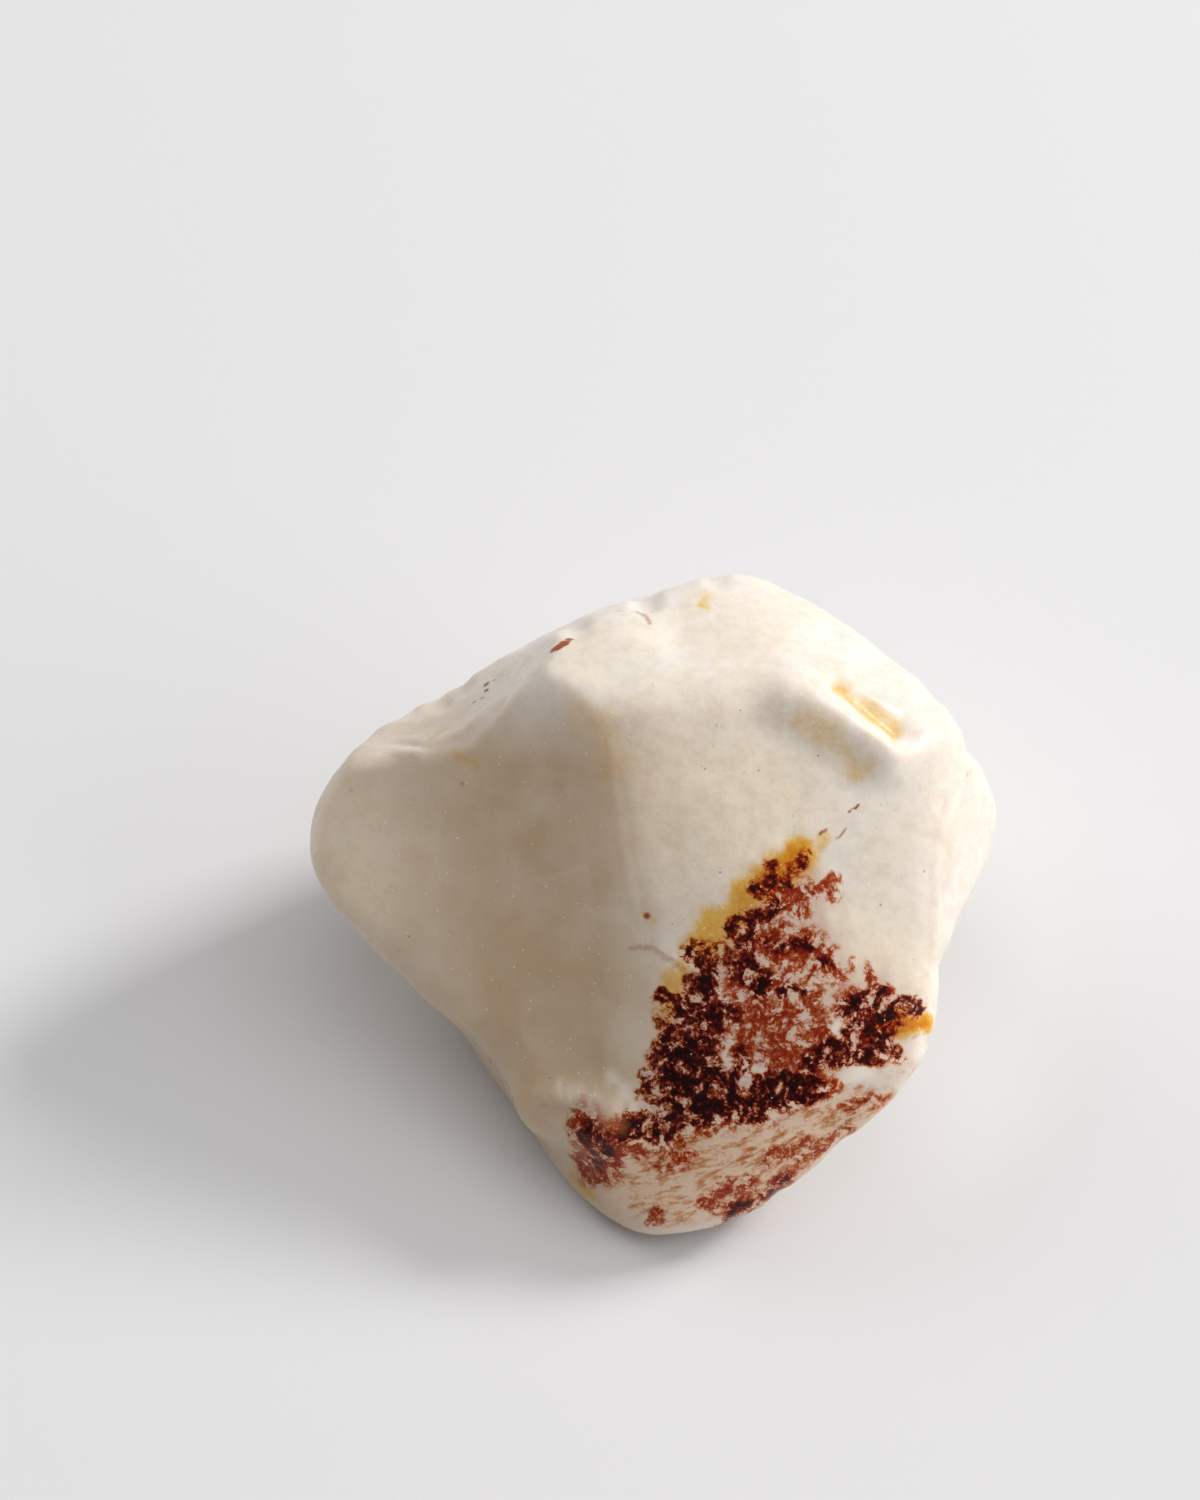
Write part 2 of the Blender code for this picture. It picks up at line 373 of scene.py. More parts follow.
# Where colour lies on the front, in chart mm: each mark is a route or a place, a radius and a
# strength, and it fades out at a fixed multiple of its radius
MARK_REACH = 1.8
DARK_ROUTES = (
    (((9.5, 4.1), (9.3, 3.4), (8.8, 3.0)), 0.45, 0.56),
    (((7.3, 3.0), (7.2, 2.2), (6.4, 1.7)), 0.70, 0.66),
    (((7.2, 2.2), (7.9, 2.3), (8.3, 2.0)), 0.50, 0.58),
    (((4.6, -0.8), (5.6, -0.3), (6.8, 0.1), (7.3, 0.3)), 0.62, 0.90),
    (((5.3, -1.0), (5.4, -1.9), (5.7, -2.8), (5.9, -3.8), (6.6, -4.7)), 0.80, 0.78),
    (((7.0, -1.8), (8.3, -1.7), (9.8, -2.0)), 0.60, 0.50),
    (((8.5, -4.6), (9.0, -4.9)), 0.55, 0.75),
    (((10.5, -3.0), (11.6, -2.9)), 0.40, 0.50),
    (((2.5, -2.6), (3.0, -3.2), (2.8, -4.3), (3.2, -5.0), (2.3, -4.7)), 0.80, 0.92),
    (((3.8, -2.4), (4.8, -3.2)), 0.70, 0.50),
    (((1.2, -5.4), (0.2, -5.2), (0.1, -6.7), (0.2, -8.0)), 0.55, 0.72),
    (((3.8, -6.5), (1.5, -6.7), (1.3, -7.8), (2.8, -8.8), (0.4, -8.8)), 1.30, 0.68),
    (((0.9, -9.9), (2.8, -10.3), (2.3, -11.4), (4.2, -11.8), (5.7, -12.1)), 1.35, 1.02),
    (((0.4, -12.5), (2.4, -12.6), (5.4, -12.2), (7.6, -11.5)), 1.05, 1.05),
    (((-0.7, -10.6), (-1.3, -11.2)), 0.70, 0.62),
    (((-1.8, -13.8), (-0.5, -14.0), (1.0, -13.2)), 0.95, 0.95),
    (((5.0, -10.4), (5.5, -9.7)), 0.65, 0.90),
    (((7.0, -11.5), (8.0, -11.0), (9.8, -11.2)), 0.75, 1.05),
    (((10.1, -9.6), (11.3, -8.7), (12.8, -9.1), (14.6, -8.6), (15.4, -8.6)), 0.75, 0.68),
    (((14.3, -8.5), (14.6, -7.9)), 0.55, 0.95),
    (((12.3, -6.0), (13.9, -5.4), (14.3, -6.2), (15.4, -6.0), (16.7, -5.8)), 0.65, 0.80),
    (((12.4, -7.6), (13.8, -7.2), (14.6, -7.6)), 1.10, 0.52),
    (((-4.8, -14.2), (-3.8, -14.8), (-4.0, -16.0)), 0.80, 0.56),
    (((5.8, -19.4), (5.0, -19.6), (4.7, -20.5)), 0.50, 0.60),
    (((8.2, -17.6), (7.2, -18.4)), 0.50, 0.50),
)
RUST_ROUTES = (
    (((6.8, -1.9), (8.3, -1.8), (9.8, -2.2), (10.6, -3.2)), 1.3, 0.74),
    (((7.9, -6.1), (6.8, -6.9), (7.1, -8.0), (7.9, -8.8), (5.7, -8.8)), 1.7, 0.62),
    (((9.8, -5.0), (9.8, -6.5), (10.5, -7.8), (9.6, -9.6)), 1.1, 0.60),
    (((5.7, -5.4), (5.2, -4.4)), 0.8, 0.72),
    (((8.6, 0.4), (9.8, 1.7), (11.1, 1.9)), 1.0, 0.58),
    (((7.4, 0.9), (8.6, 0.9)), 1.0, 0.66),
    (((10.6, -2.9), (11.7, -2.8)), 0.5, 0.75),
    (((13.4, -3.5), (13.6, -4.6), (14.4, -5.2)), 0.5, 0.72),
    (((12.6, -6.0), (14.1, -6.9), (13.2, -7.9)), 1.3, 0.66),
    (((3.6, -5.6), (1.9, -8.2), (1.6, -11.0), (4.6, -11.4)), 1.9, 0.56),
    (((4.6, -5.4), (6.8, -4.4), (8.6, -4.0), (9.4, -3.2)), 1.6, 0.50),
    (((4.4, -7.2), (6.0, -9.8), (8.4, -9.6)), 1.3, 0.50),
    (((-0.5, -15.0), (2.3, -14.1), (4.5, -13.1), (7.9, -12.1), (10.5, -11.0)), 1.1, 0.50),
    (((-4.9, -14.0), (-3.4, -15.0), (-4.2, -16.6)), 1.3, 0.78),
    (((-2.6, -14.4), (-1.4, -15.2)), 1.0, 0.62),
    (((7.1, -16.1), (7.9, -15.4), (9.8, -14.9), (11.0, -15.2), (12.4, -14.5)), 0.8, 0.46),
    (((9.4, -16.1), (10.9, -15.4)), 0.8, 0.48),
    (((5.7, -17.5), (4.4, -18.0), (3.4, -18.5)), 0.9, 0.56),
    (((8.4, -17.5), (7.1, -18.5)), 0.8, 0.56),
    (((5.9, -19.4), (4.9, -19.6), (4.6, -20.5)), 0.8, 0.66),
    (((-0.5, -20.2), (0.3, -19.7)), 0.5, 0.66),
    (((12.6, -12.6), (14.4, -12.2)), 0.8, 0.42),
    (((0.0, -16.2), (1.9, -15.8)), 0.9, 0.46),
)
AMBER_ROUTES = (
    (((9.0, 4.0), (8.0, 3.0), (6.9, 2.0)), 1.05, 1.0),
    (((6.4, 2.0), (5.4, 1.2), (4.8, 0.2), (3.6, -0.6), (3.0, -1.8)), 1.20, 0.56),
    (((1.4, -3.8), (0.6, -5.2), (0.1, -6.4), (0.2, -7.8)), 0.65, 0.40),
    (((15.0, -6.8), (16.2, -7.0), (17.2, -7.2)), 0.60, 1.0),
    (((-5.8, -17.4), (-4.9, -18.6)), 0.5, 0.45),
    (((-1.2, -0.1), (-0.8, -0.3)), 0.30, 0.22),
    (((11.8, 15.2), (13.6, 13.8), (15.4, 12.0)), 0.60, 0.34),
    # Amber in the hollow under the lip: partly stain, partly painted shade of the hollow
    (((9.4, 12.9), (11.4, 11.4), (13.2, 9.8)), 0.95, 0.24),
    # Faint amber under the brow: painted light, the glow of light through the stone's edge
    (((-5.2, 13.4), (-4.0, 12.6), (-3.2, 10.4)), 1.3, 0.17),
    (((3.2, 21.9), (3.2, 20.6)), 0.4, 0.45),
    (((-13.2, 10.6), (-12.2, 10.2)), 0.6, 0.22),
    (((-15.1, 11.9), (-14.8, 12.1)), 0.45, 0.35),
    # Painted light: more of the glow through the edge under the brow
    (((-4.4, 12.2), (-3.6, 10.4)), 0.7, 0.16),
    (((10.0, 4.6), (10.8, 5.3)), 0.5, 0.30),
)

# Paler islands between the stains and a painted highlight on a rim, then small spots, cracks, and
# painted light: warm cream on the lit faces
PALE_ROUTES = (
    (((-3.4, -10.4), (-2.4, -11.6), (-1.7, -13.0)), 0.45, 0.6),
    (((-6.8, -10.9), (-5.2, -11.8), (-4.2, -12.8)), 0.34, 0.5),
    (((12.4, -10.4), (14.2, -10.6), (15.8, -11.0)), 0.70, 0.9),
    (((4.6, -9.4), (6.6, -10.6)), 0.40, 0.6),
    (((11.4, -7.4), (11.7, -6.8)), 0.45, 0.9),
    (((3.9, -4.4), (4.2, -5.6)), 0.40, 0.6),
    (((4.6, -7.2), (5.0, -8.4)), 0.35, 0.5),
    # Painted highlight along the rim of the facet above the prow
    (((-18.4, 11.4), (-15.4, 10.9), (-12.8, 11.5), (-11.0, 13.1)), 0.45, 0.5),
)
STAIN_SPOTS = (
    (-11.7, 15.5, 0.26, 1.0), (-11.6, 15.0, 0.22, 1.0), (-11.9, 14.6, 0.17, 0.9), (-11.1, 15.7, 0.16, 0.8),
    (-12.5, 14.3, 0.18, 0.8), (-10.5, 16.0, 0.15, 0.6), (-0.95, 0.1, 0.26, 0.75), (14.5, 0.9, 0.16, 0.6),
    (-10.4, 15.2, 0.9, 0.20), (17.4, 3.0, 0.14, 0.5), (3.6, 12.6, 0.12, 0.5), (5.4, 9.4, 0.11, 0.5),
    (-20.8, 8.4, 0.4, 0.35), (-13.3, 8.8, 0.2, 0.6), (-7.1, 17.5, 0.26, 1.1), (-6.8, 17.7, 0.34, 1.3),
    (-6.4, 18.0, 0.34, 1.3), (-6.0, 18.3, 0.26, 1.1),
)
CRACK_ROUTES = (
    (((-1.6, 20.5), (-1.0, 20.2), (-0.7, 19.6)), 0.22, 0.55),
    (((-1.9, 20.3), (-0.6, 20.6), (0.6, 20.8)), 0.16, 0.42),
    (((3.0, 22.0), (3.3, 20.8), (3.2, 20.2)), 0.14, 0.36),
    (((-8.2, -12.5), (-5.8, -12.8), (-4.6, -13.8)), 0.22, 0.30),
    (((20.7, 9.7), (20.3, 9.2)), 0.10, 0.55),
    (((20.3, 9.2), (19.5, 8.3), (18.9, 7.6), (18.7, 7.0), (18.4, 6.2)), 0.12, 0.30),
    (((12.5, 7.0), (13.1, 7.4)), 0.09, 0.95),
    (((10.5, 5.5), (10.9, 5.8)), 0.13, 0.75),
    (((11.6, 5.2), (11.9, 5.4), (12.3, 5.9)), 0.13, 0.65),
    (((-3.3, 10.6), (-3.3, 8.4), (-2.9, 6.0)), 0.35, 0.26),
    (((19.2, -6.9), (18.2, -7.4), (16.4, -8.0)), 0.2, 0.45),
    (((-5.0, -12.0), (-3.6, -12.9), (-2.6, -13.8)), 0.7, 0.55),
    (((-1.9, -2.0), (-0.6, -2.0), (0.6, -2.8), (1.6, -3.6)), 0.35, 0.45),
)
# Painted light: warm cream where the faces are lit, as chart place, radius and strength
PAINTED_LIGHT_PLACES = ((4.0, 7.0, 11.0, 0.9), (-21.0, 3.0, 8.0, 0.8), (14.0, -3.0, 8.0, 0.9))

# Outlines of the mottled patch and of the streaked lower face
MOTTLED_OUTLINE = [
    (9.4, 4.0), (11.4, 2.1), (11.5, -2.7), (13.5, -3.6), (16.7, -5.4), (16.4, -6.7), (15.5, -8.6),
    (12.6, -9.9), (9.4, -11.5), (5.8, -12.7), (0.8, -14.1), (-2.4, -15.7), (-4.3, -17.0), (-5.3, -14.7),
    (-3.6, -13.1), (-1.5, -13.4), (-1.0, -11.5), (-0.6, -8.6), (-0.3, -5.0), (2.3, -2.7), (4.8, 0.5),
    (5.8, 3.4),
]
STREAKED_OUTLINE = [
    (-4.6, -16.4), (-2.4, -15.7), (0.8, -14.1), (5.8, -12.7), (9.4, -11.5), (13.0, -9.8), (17.4, -10.4),
    (16.6, -12.8), (13.0, -15.8), (9.0, -19.0), (5.6, -21.0), (0.0, -20.6), (-3.6, -19.4),
]


def marks(routes, across, along):
    """Strength of a set of marks at each point: the strongest of their hills."""
    strength = np.zeros(len(right))
    for route, radius, height in routes:
        hill = bump(line_distance(across, along, list(route)), radius * MARK_REACH)
        strength = np.maximum(strength, height * hill)
    return strength * front


def bent(places, seed):
    """Chart places moved by up to about half a mm, so that what follows them wanders."""
    return places + 0.45 * swell(skin_points, 1.3, seed) + 0.20 * swell(skin_points, 0.6, seed + 1)


facing = np.clip((out + 1.0) / 3.0, 0.0, 1.0)
bent_right = bent(right, 21)
bent_up = bent(up, 23)
mottled_depth = inside_depth(right, up, MOTTLED_OUTLINE)
streaked_depth = inside_depth(right, up, STREAKED_OUTLINE)
wander = 0.8 * swell(skin_points, 1.6, 11) + 0.5 * swell(skin_points, 0.7, 12)
# Painted shade: darker honey on the left side, away from the key light, and less at the prow's tip
shaded = np.clip((2.0 - right) / 6.0, 0.0, 1.0) * np.clip((15.0 - up) / 5.0, 0.0, 1.0)
spots = np.zeros(len(right))
for place_right, place_up, radius, strength in STAIN_SPOTS:
    away = np.linalg.norm(skin_points - skin_points[foremost(place_right, place_up)], axis=1)
    spots = np.maximum(spots, strength * bump(away, radius * MARK_REACH))
masks = {
    "dark": marks(DARK_ROUTES, bent_right, bent_up),
    "rust": marks(RUST_ROUTES, bent_right, bent_up),
    "amber": marks(AMBER_ROUTES, bent_right, bent_up),
    "crack": np.maximum(marks(CRACK_ROUTES, right, up), spots),
    "painted_shade": shaded * (1.0 - 0.42 * np.clip((-11.0 - right) / 8.0, 0.0, 1.0)),
    "mottled": np.clip(0.5 + (mottled_depth + wander) / 2.0, 0.0, 1.0) * facing,
    "streaked": np.clip(0.5 + (streaked_depth + wander) / 3.0, 0.0, 1.0) * facing,
    "pale": marks(PALE_ROUTES, bent_right, bent_up),
    "painted_light": np.zeros(len(right)),
}
# Painted light: cream laid where the faces are lit
for place_right, place_up, radius, strength in PAINTED_LIGHT_PLACES:
    hill = strength * front * bump(np.hypot(right - place_right, up - place_up), radius)
    masks["painted_light"] = np.maximum(masks["painted_light"], hill)

# Faint ochre and a few rusty patches on the back
far_behind = np.clip((-out - 5.0) / 4.0, 0.0, 1.0)
ochre = np.clip(swell(skin_points, 5.5, 31) + 0.5 * swell(skin_points, 2.2, 32) - 0.35, 0.0, 1.0)
rusty = np.clip(swell(skin_points, 4.5, 33) + 0.6 * swell(skin_points, 1.8, 34) - 0.72, 0.0, 1.0)
masks["amber"] = np.maximum(masks["amber"], 0.32 * far_behind * ochre)
masks["rust"] = np.maximum(masks["rust"], 1.2 * far_behind * rusty)

# The pale islands and the painted rim highlight thin out whatever would stain them
for stain in ("dark", "rust", "amber", "streaked"):
    masks[stain] *= 1.0 - 0.85 * masks["pale"]

mesh = bpy.data.meshes.new("opal_stone_skin")
triangles = np.concatenate([quads[:, [0, 1, 2]], quads[:, [0, 2, 3]]])
mesh.vertices.add(len(points))
mesh.vertices.foreach_set("co", (points * MM).ravel())
mesh.loops.add(len(triangles) * 3)
mesh.loops.foreach_set("vertex_index", triangles.ravel())
mesh.polygons.add(len(triangles))
mesh.polygons.foreach_set("loop_start", np.arange(0, len(triangles) * 3, 3))
mesh.update(calc_edges=True)
for name, mask in masks.items():
    attribute = mesh.attributes.new(name, "FLOAT", "POINT")
    attribute.data.foreach_set("value", mask.astype(np.float32))
mesh.shade_smooth()
mesh.validate()
opal = bpy.data.objects.new("opal_stone_skin", mesh)
bpy.context.collection.objects.link(opal)


def link(tree, source, target):
    """Joins one socket to another."""
    tree.links.new(source, target)


def noise_field(tree, place, size, detail, roughness, distortion=0.0):
    """A cloud of noise with lumps of one size in mm, read at places in mm."""
    node = tree.nodes.new("ShaderNodeTexNoise")
    node.inputs["Scale"].default_value = 1.0 / size
    node.inputs["Detail"].default_value = detail
    node.inputs["Roughness"].default_value = roughness
    node.inputs["Distortion"].default_value = distortion
    link(tree, place, node.inputs["Vector"])
    return node.outputs["Fac"]


def branch_field(tree, place, size, detail):
    """Thin crooked branches, bright along their middles, from ridged noise of one size in mm."""
    node = tree.nodes.new("ShaderNodeTexNoise")
    node.noise_type = "RIDGED_MULTIFRACTAL"
    node.inputs["Scale"].default_value = 1.0 / size
    node.inputs["Detail"].default_value = detail
    node.inputs["Roughness"].default_value = 0.62
    node.inputs["Lacunarity"].default_value = 2.1
    node.inputs["Offset"].default_value = 1.0
    node.inputs["Gain"].default_value = 2.0
    node.inputs["Distortion"].default_value = 0.6
    link(tree, place, node.inputs["Vector"])
    return node.outputs["Fac"]


def maths(tree, operation, first, second=0.0, third=0.0):
    """One arithmetic node on sockets or plain numbers."""
    node = tree.nodes.new("ShaderNodeMath")
    node.operation = operation
    for socket, value in zip(node.inputs, (first, second, third)):
        if isinstance(value, (int, float)):
            socket.default_value = value
        else:
            link(tree, value, socket)
    return node.outputs[0]


def ramp(tree, value, low, high):
    """Smoothly from 0 at the low value to 1 at the high one."""
    node = tree.nodes.new("ShaderNodeMapRange")
    node.interpolation_type = "SMOOTHSTEP"
    node.inputs["From Min"].default_value = low
    node.inputs["From Max"].default_value = high
    link(tree, value, node.inputs["Value"])
    return node.outputs["Result"]


def blended(tree, amount, first, second):
    """Colour blended from the first to the second by an amount."""
    node = tree.nodes.new("ShaderNodeMix")
    node.data_type = "RGBA"
    for socket, value in ((node.inputs[6], first), (node.inputs[7], second)):
        if isinstance(value, tuple):
            socket.default_value = (*value, 1.0)
        else:
            link(tree, value, socket)
    if isinstance(amount, (int, float)):
        node.inputs["Factor"].default_value = amount
    else:
        link(tree, amount, node.inputs["Factor"])
    return node.outputs[2]


def stained(tree, depth, ground, tint):
    """Ground seen through a clear stain: three equal layers, each the tint's cube root, by its depth."""
    layer = tuple(channel ** (1 / 3) for channel in tint)
    for first, last in ((0.0, 0.4), (0.3, 0.7), (0.6, 1.0)):
        node = tree.nodes.new("ShaderNodeMix")
        node.data_type = "RGBA"
        node.blend_type = "MULTIPLY"
        link(tree, ramp(tree, depth, first, last), node.inputs["Factor"])
        link(tree, ground, node.inputs[6])
        node.inputs[7].default_value = (*layer, 1.0)
        ground = node.outputs[2]
    return ground


def mask_socket(tree, name):
    """One of the stone's painted masks."""
    node = tree.nodes.new("ShaderNodeAttribute")
    node.attribute_name = name
    return node.outputs["Fac"]


# Colours of the stone itself
MILK = (0.84, 0.775, 0.695)
# Honey: the colour of the small clouds, and the painted shade of the left side
HONEY_SHADE_AND_CLOUD = (0.575, 0.43, 0.285)
WARM_CREAM = (0.81, 0.715, 0.59)
COOL_MILK = (0.79, 0.745, 0.69)
BLUSH = (0.72, 0.585, 0.50)
# Painted light: cream for the lit faces
PAINTED_LIGHT_CREAM = (0.90, 0.77, 0.605)
PINK_GROUND = (0.68, 0.50, 0.40)
# White of the pale islands, also a painted highlight on a rim
WHITE_ISLAND_AND_HIGHLIGHT = (0.86, 0.775, 0.68)
# Tan of the streaked lower face, brightened as painted light bounced up from the floor
TAN_AND_BOUNCED_LIGHT = (0.87, 0.65, 0.47)

# Stains, as the share of each colour that their full depth lets through
# The amber also paints shade in the hollow under the lip and a glow of light under the brow
AMBER_STAIN_SHADE_AND_GLOW = (0.84, 0.33, 0.010)
RUST_STAIN = (0.38, 0.030, 0.0030)
MAROON_STAIN = (0.075, 0.0060, 0.0030)
STREAK_STAIN = (0.52, 0.16, 0.045)
CRACK_RED = (0.36, 0.10, 0.03)

material = bpy.data.materials.new("milky_opal")
material.use_nodes = True
tree = material.node_tree
shader = tree.nodes["Principled BSDF"]
coordinates = tree.nodes.new("ShaderNodeTexCoord")
to_mm = tree.nodes.new("ShaderNodeMapping")
to_mm.inputs["Scale"].default_value = (1000.0, 1000.0, 1000.0)
link(tree, coordinates.outputs["Object"], to_mm.inputs["Vector"])
place = to_mm.outputs["Vector"]

# Milky body: broad warm and cool clouds, painted shade in honey on the left side away from the
# key light, painted light in cream on the lit faces, a blush in places, and fainter small clouds
clouds = ramp(tree, noise_field(tree, place, 7.0, 4.0, 0.55, 0.3), 0.38, 0.64)
colour = blended(tree, maths(tree, "MULTIPLY", clouds, 0.65), MILK, WARM_CREAM)
cool = ramp(tree, noise_field(tree, place, 5.0, 3.0, 0.55, 0.4), 0.46, 0.68)
colour = blended(tree, maths(tree, "MULTIPLY", cool, 0.6), colour, COOL_MILK)
# Painted shade: honey laid on the left side, in uneven strength
painted_shade_amount = maths(tree, "MULTIPLY_ADD", noise_field(tree, place, 4.0, 3.0, 0.55, 0.5), 0.9, 0.45)
colour = blended(tree, maths(tree, "MULTIPLY", mask_socket(tree, "painted_shade"), painted_shade_amount), colour, HONEY_SHADE_AND_CLOUD)
# Painted light: cream on the lit faces
colour = blended(tree, maths(tree, "MULTIPLY", mask_socket(tree, "painted_light"), 0.8), colour, PAINTED_LIGHT_CREAM)
blush = ramp(tree, noise_field(tree, place, 3.4, 4.0, 0.6, 0.8), 0.55, 0.72)
colour = blended(tree, maths(tree, "MULTIPLY", blush, 0.35), colour, BLUSH)
small_clouds = ramp(tree, noise_field(tree, place, 1.1, 5.0, 0.65), 0.40, 0.66)
colour = blended(tree, maths(tree, "MULTIPLY", small_clouds, 0.20), colour, HONEY_SHADE_AND_CLOUD)

# Pinkish ground of the mottled patch, pale islands, and the warm streaked lower face
mottled = mask_socket(tree, "mottled")
streaked = mask_socket(tree, "streaked")
colour = blended(tree, maths(tree, "MULTIPLY", mottled, 0.80), colour, PINK_GROUND)
lengthwise = tree.nodes.new("ShaderNodeMapping")
lengthwise.vector_type = "TEXTURE"
lengthwise.inputs["Rotation"].default_value = (math.radians(-36.0), math.radians(-22.0), 0.0)
lengthwise.inputs["Scale"].default_value = (5.0, 1.0, 1.0)
link(tree, place, lengthwise.inputs["Vector"])
streaks = noise_field(tree, lengthwise.outputs["Vector"], 0.42, 8.0, 0.70, 0.2)
patches = noise_field(tree, place, 1.5, 6.0, 0.7, 0.4)
# The lower face's tan, partly its own colour and partly painted light bounced from the floor
colour = blended(tree, maths(tree, "MULTIPLY", streaked, 0.85), colour, TAN_AND_BOUNCED_LIGHT)
# Pale islands, and a painted highlight on the rim above the prow
colour = blended(tree, mask_socket(tree, "pale"), colour, WHITE_ISLAND_AND_HIGHLIGHT)
streak_depth = maths(tree, "MULTIPLY_ADD", maths(tree, "SUBTRACT", streaks, 0.5), 3.2, -0.80)
streak_depth = maths(tree, "MULTIPLY_ADD", patches, 1.8, streak_depth)
colour = stained(tree, maths(tree, "MULTIPLY", streaked, streak_depth), colour, STREAK_STAIN)

# Amber halos (some painted shade and glow), rust and the dark branching inclusions share one ragged field
ragged = noise_field(tree, place, 0.95, 9.0, 0.76, 0.8)
fine_ragged = noise_field(tree, place, 0.30, 6.0, 0.72, 0.5)
branches = branch_field(tree, place, 1.3, 6.0)
field = maths(tree, "ADD", maths(tree, "MULTIPLY", ragged, 0.54), maths(tree, "MULTIPLY", fine_ragged, 0.46))
spread = maths(tree, "SUBTRACT", field, 0.5)
twigs = maths(tree, "MULTIPLY_ADD", ramp(tree, branches, 0.6, 1.9), 0.80, -0.34)
ragged_edge = maths(tree, "MULTIPLY_ADD", spread, 6.6, twigs)
amber_mask = mask_socket(tree, "amber")
amber = maths(tree, "MULTIPLY_ADD", maths(tree, "MULTIPLY", spread, amber_mask), 3.6, amber_mask)
colour = stained(tree, maths(tree, "MULTIPLY", amber, 0.84), colour, AMBER_STAIN_SHADE_AND_GLOW)
rust_mask = mask_socket(tree, "rust")
rust_field = maths(tree, "MULTIPLY_ADD", ragged_edge, ramp(tree, rust_mask, 0.0, 0.5), rust_mask)
colour = stained(tree, ramp(tree, rust_field, 0.02, 1.45), colour, RUST_STAIN)
dark_mask = mask_socket(tree, "dark")
dark_field = maths(tree, "MULTIPLY_ADD", ragged_edge, ramp(tree, dark_mask, 0.0, 0.5), dark_mask)
colour = stained(tree, ramp(tree, dark_field, 0.10, 1.25), colour, RUST_STAIN)
colour = stained(tree, ramp(tree, dark_field, 0.48, 1.75), colour, MAROON_STAIN)
crack_field = maths(tree, "MULTIPLY_ADD", spread, 0.8, mask_socket(tree, "crack"))
colour = blended(tree, ramp(tree, crack_field, 0.22, 0.75), colour, CRACK_RED)

# Painted pinfire glints, tan motes and tiny dark pits: cell size and dot radius in mm, share left out,
# colour
for cell_size, dot, left_out, tint, strength in (
    # Pale pinfire points: painted glints
    (0.47, 0.075, 0.66, (1.00, 0.95, 0.78), 0.60),
    (0.60, 0.080, 0.74, (0.55, 0.42, 0.26), 0.55),
    (1.10, 0.090, 0.80, (0.24, 0.13, 0.07), 0.65),
):
    cells = tree.nodes.new("ShaderNodeTexVoronoi")
    cells.inputs["Scale"].default_value = 1.0 / cell_size
    link(tree, place, cells.inputs["Vector"])
    rim = dot / cell_size
    near = ramp(tree, maths(tree, "MULTIPLY", cells.outputs["Distance"], -1.0), -rim, -rim / 2)
    chosen = maths(tree, "GREATER_THAN", cells.outputs["Color"], left_out)
    dots = maths(tree, "MULTIPLY", near, chosen)
    colour = blended(tree, maths(tree, "MULTIPLY", dots, strength), colour, tint)
link(tree, colour, shader.inputs["Base Color"])

# Waxy, a little uneven gloss, over light that spreads inside the stone
gloss = noise_field(tree, place, 1.8, 5.0, 0.6)
rough = tree.nodes.new("ShaderNodeMapRange")
rough.inputs["To Min"].default_value = 0.20
rough.inputs["To Max"].default_value = 0.40
link(tree, gloss, rough.inputs["Value"])
link(tree, rough.outputs["Result"], shader.inputs["Roughness"])
shader.inputs["IOR"].default_value = 1.45
shader.inputs["Specular IOR Level"].default_value = 0.24
shader.inputs["Subsurface Weight"].default_value = 0.85
shader.inputs["Subsurface Radius"].default_value = (1.0, 0.72, 0.48)
shader.inputs["Subsurface Scale"].default_value = 0.0009

# Grain: fine waxy dimples
grain = noise_field(tree, place, 0.30, 6.0, 0.68)
dimples = noise_field(tree, place, 1.1, 4.0, 0.55)
height = maths(tree, "MULTIPLY_ADD", dimples, 2.6, grain)
surface = tree.nodes.new("ShaderNodeBump")
surface.inputs["Strength"].default_value = 0.19
surface.inputs["Distance"].default_value = 0.0001
link(tree, height, surface.inputs["Height"])
link(tree, surface.outputs["Normal"], shader.inputs["Normal"])
opal.data.materials.append(material)

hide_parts("opal_stone")
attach(opal, "root")

# The floor
# A plain pale matte sheet, wide enough to fill every view.

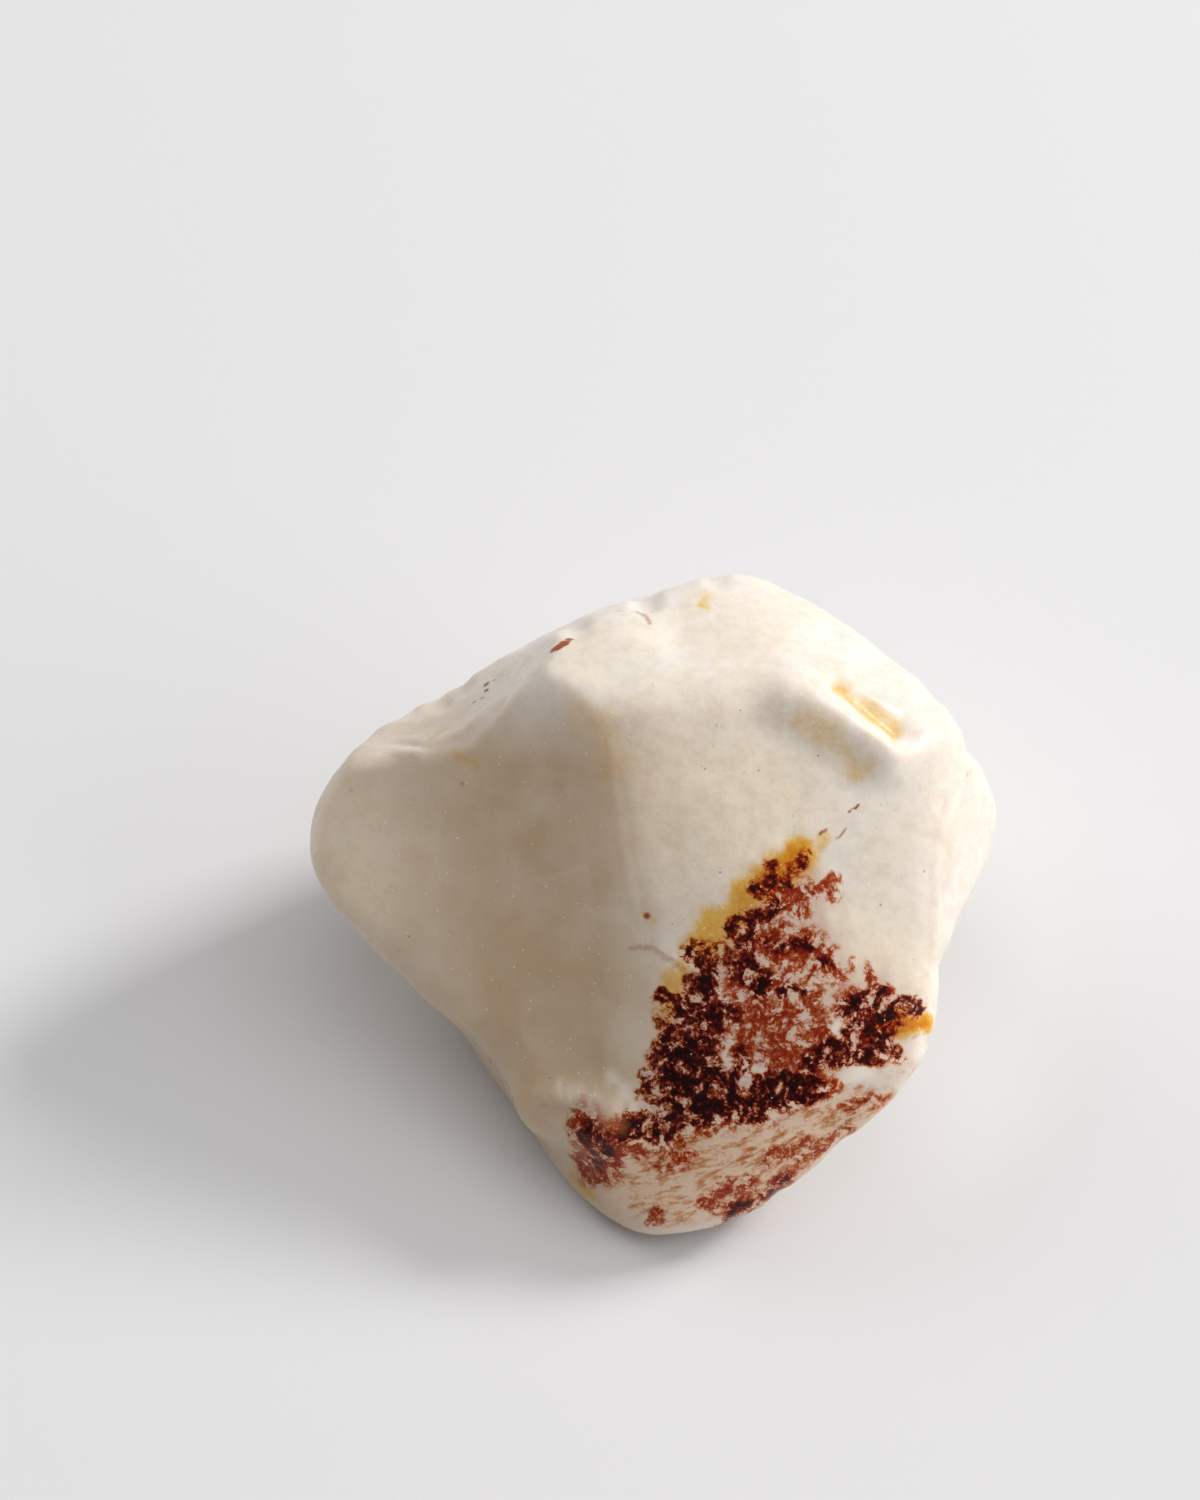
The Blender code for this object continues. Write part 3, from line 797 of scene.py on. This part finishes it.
FLOOR_HALF = 1.5
floor_mesh = bpy.data.meshes.new("floor")
floor_mesh.from_pydata(
    [(x * FLOOR_HALF, y * FLOOR_HALF, 0) for x, y in ((-1, -1), (1, -1), (1, 1), (-1, 1))],
    [], [(0, 1, 2, 3)])
floor = bpy.data.objects.new("floor", floor_mesh)
bpy.context.collection.objects.link(floor)
paper = bpy.data.materials.new("pale_floor")
paper.use_nodes = True
paper.node_tree.nodes["Principled BSDF"].inputs["Base Color"].default_value = (0.75, 0.74, 0.745, 1.0)
paper.node_tree.nodes["Principled BSDF"].inputs["Roughness"].default_value = 0.9
floor.data.materials.append(paper)

# The studio
# A soft key light stands to the right and behind, a wide light hangs overhead, broad weaker ones
# stand to the right and to the back left, and the room gives an even dim light.


def softbox(name, towards, distance, size, energy, colour):
    """A square light at a distance in m along a direction, facing the stone."""
    lamp = bpy.data.lights.new(name, "AREA")
    lamp.size = size
    lamp.energy = energy
    lamp.color = colour
    lamp_object = bpy.data.objects.new(name, lamp)
    lamp_object.location = Vector(towards).normalized() * distance
    lamp_object.rotation_euler = (-lamp_object.location).to_track_quat("-Z", "Y").to_euler()
    bpy.context.collection.objects.link(lamp_object)


softbox("key", (0.76, 0.36, 0.52), 1.20, 0.28, 11.2, (1.0, 1.0, 1.0))
softbox("overhead", (0.12, 0.0, 0.99), 1.50, 1.30, 6.2, (1.0, 0.995, 0.985))
softbox("side", (0.85, -0.25, 0.48), 1.40, 0.90, 4.4, (1.0, 1.0, 1.0))
softbox("fill", (-0.62, 0.50, 0.60), 1.40, 1.00, 4.8, (1.0, 0.985, 0.965))
world = bpy.data.worlds.new("room")
world.use_nodes = True
world.node_tree.nodes["Background"].inputs["Color"].default_value = (0.95, 0.96, 1.0, 1.0)
world.node_tree.nodes["Background"].inputs["Strength"].default_value = 0.21
bpy.context.scene.world = world
bpy.context.scene.view_settings.view_transform = "Standard"

# The camera looks down 54 degrees from 0.42 m through a 150 mm lens, a little above and left of
# the heart
CAMERA_DISTANCE = 0.4167
AIM_RIGHT = -0.004
AIM_UP = 0.011
AIM = Vector(HEART * MM) + Vector(CHART_RIGHT * AIM_RIGHT) + Vector(CHART_UP * AIM_UP)
camera_data = bpy.data.cameras.new("camera")
camera_data.lens = 150.0
camera_data.sensor_fit = "VERTICAL"
camera_data.sensor_height = 36.0
camera = bpy.data.objects.new("camera", camera_data)
camera.location = AIM + Vector(CHART_OUT) * CAMERA_DISTANCE
camera.rotation_euler = (math.radians(90.0 - CHART_TILT), 0.0, 0.0)
bpy.context.collection.objects.link(camera)
bpy.context.scene.camera = camera
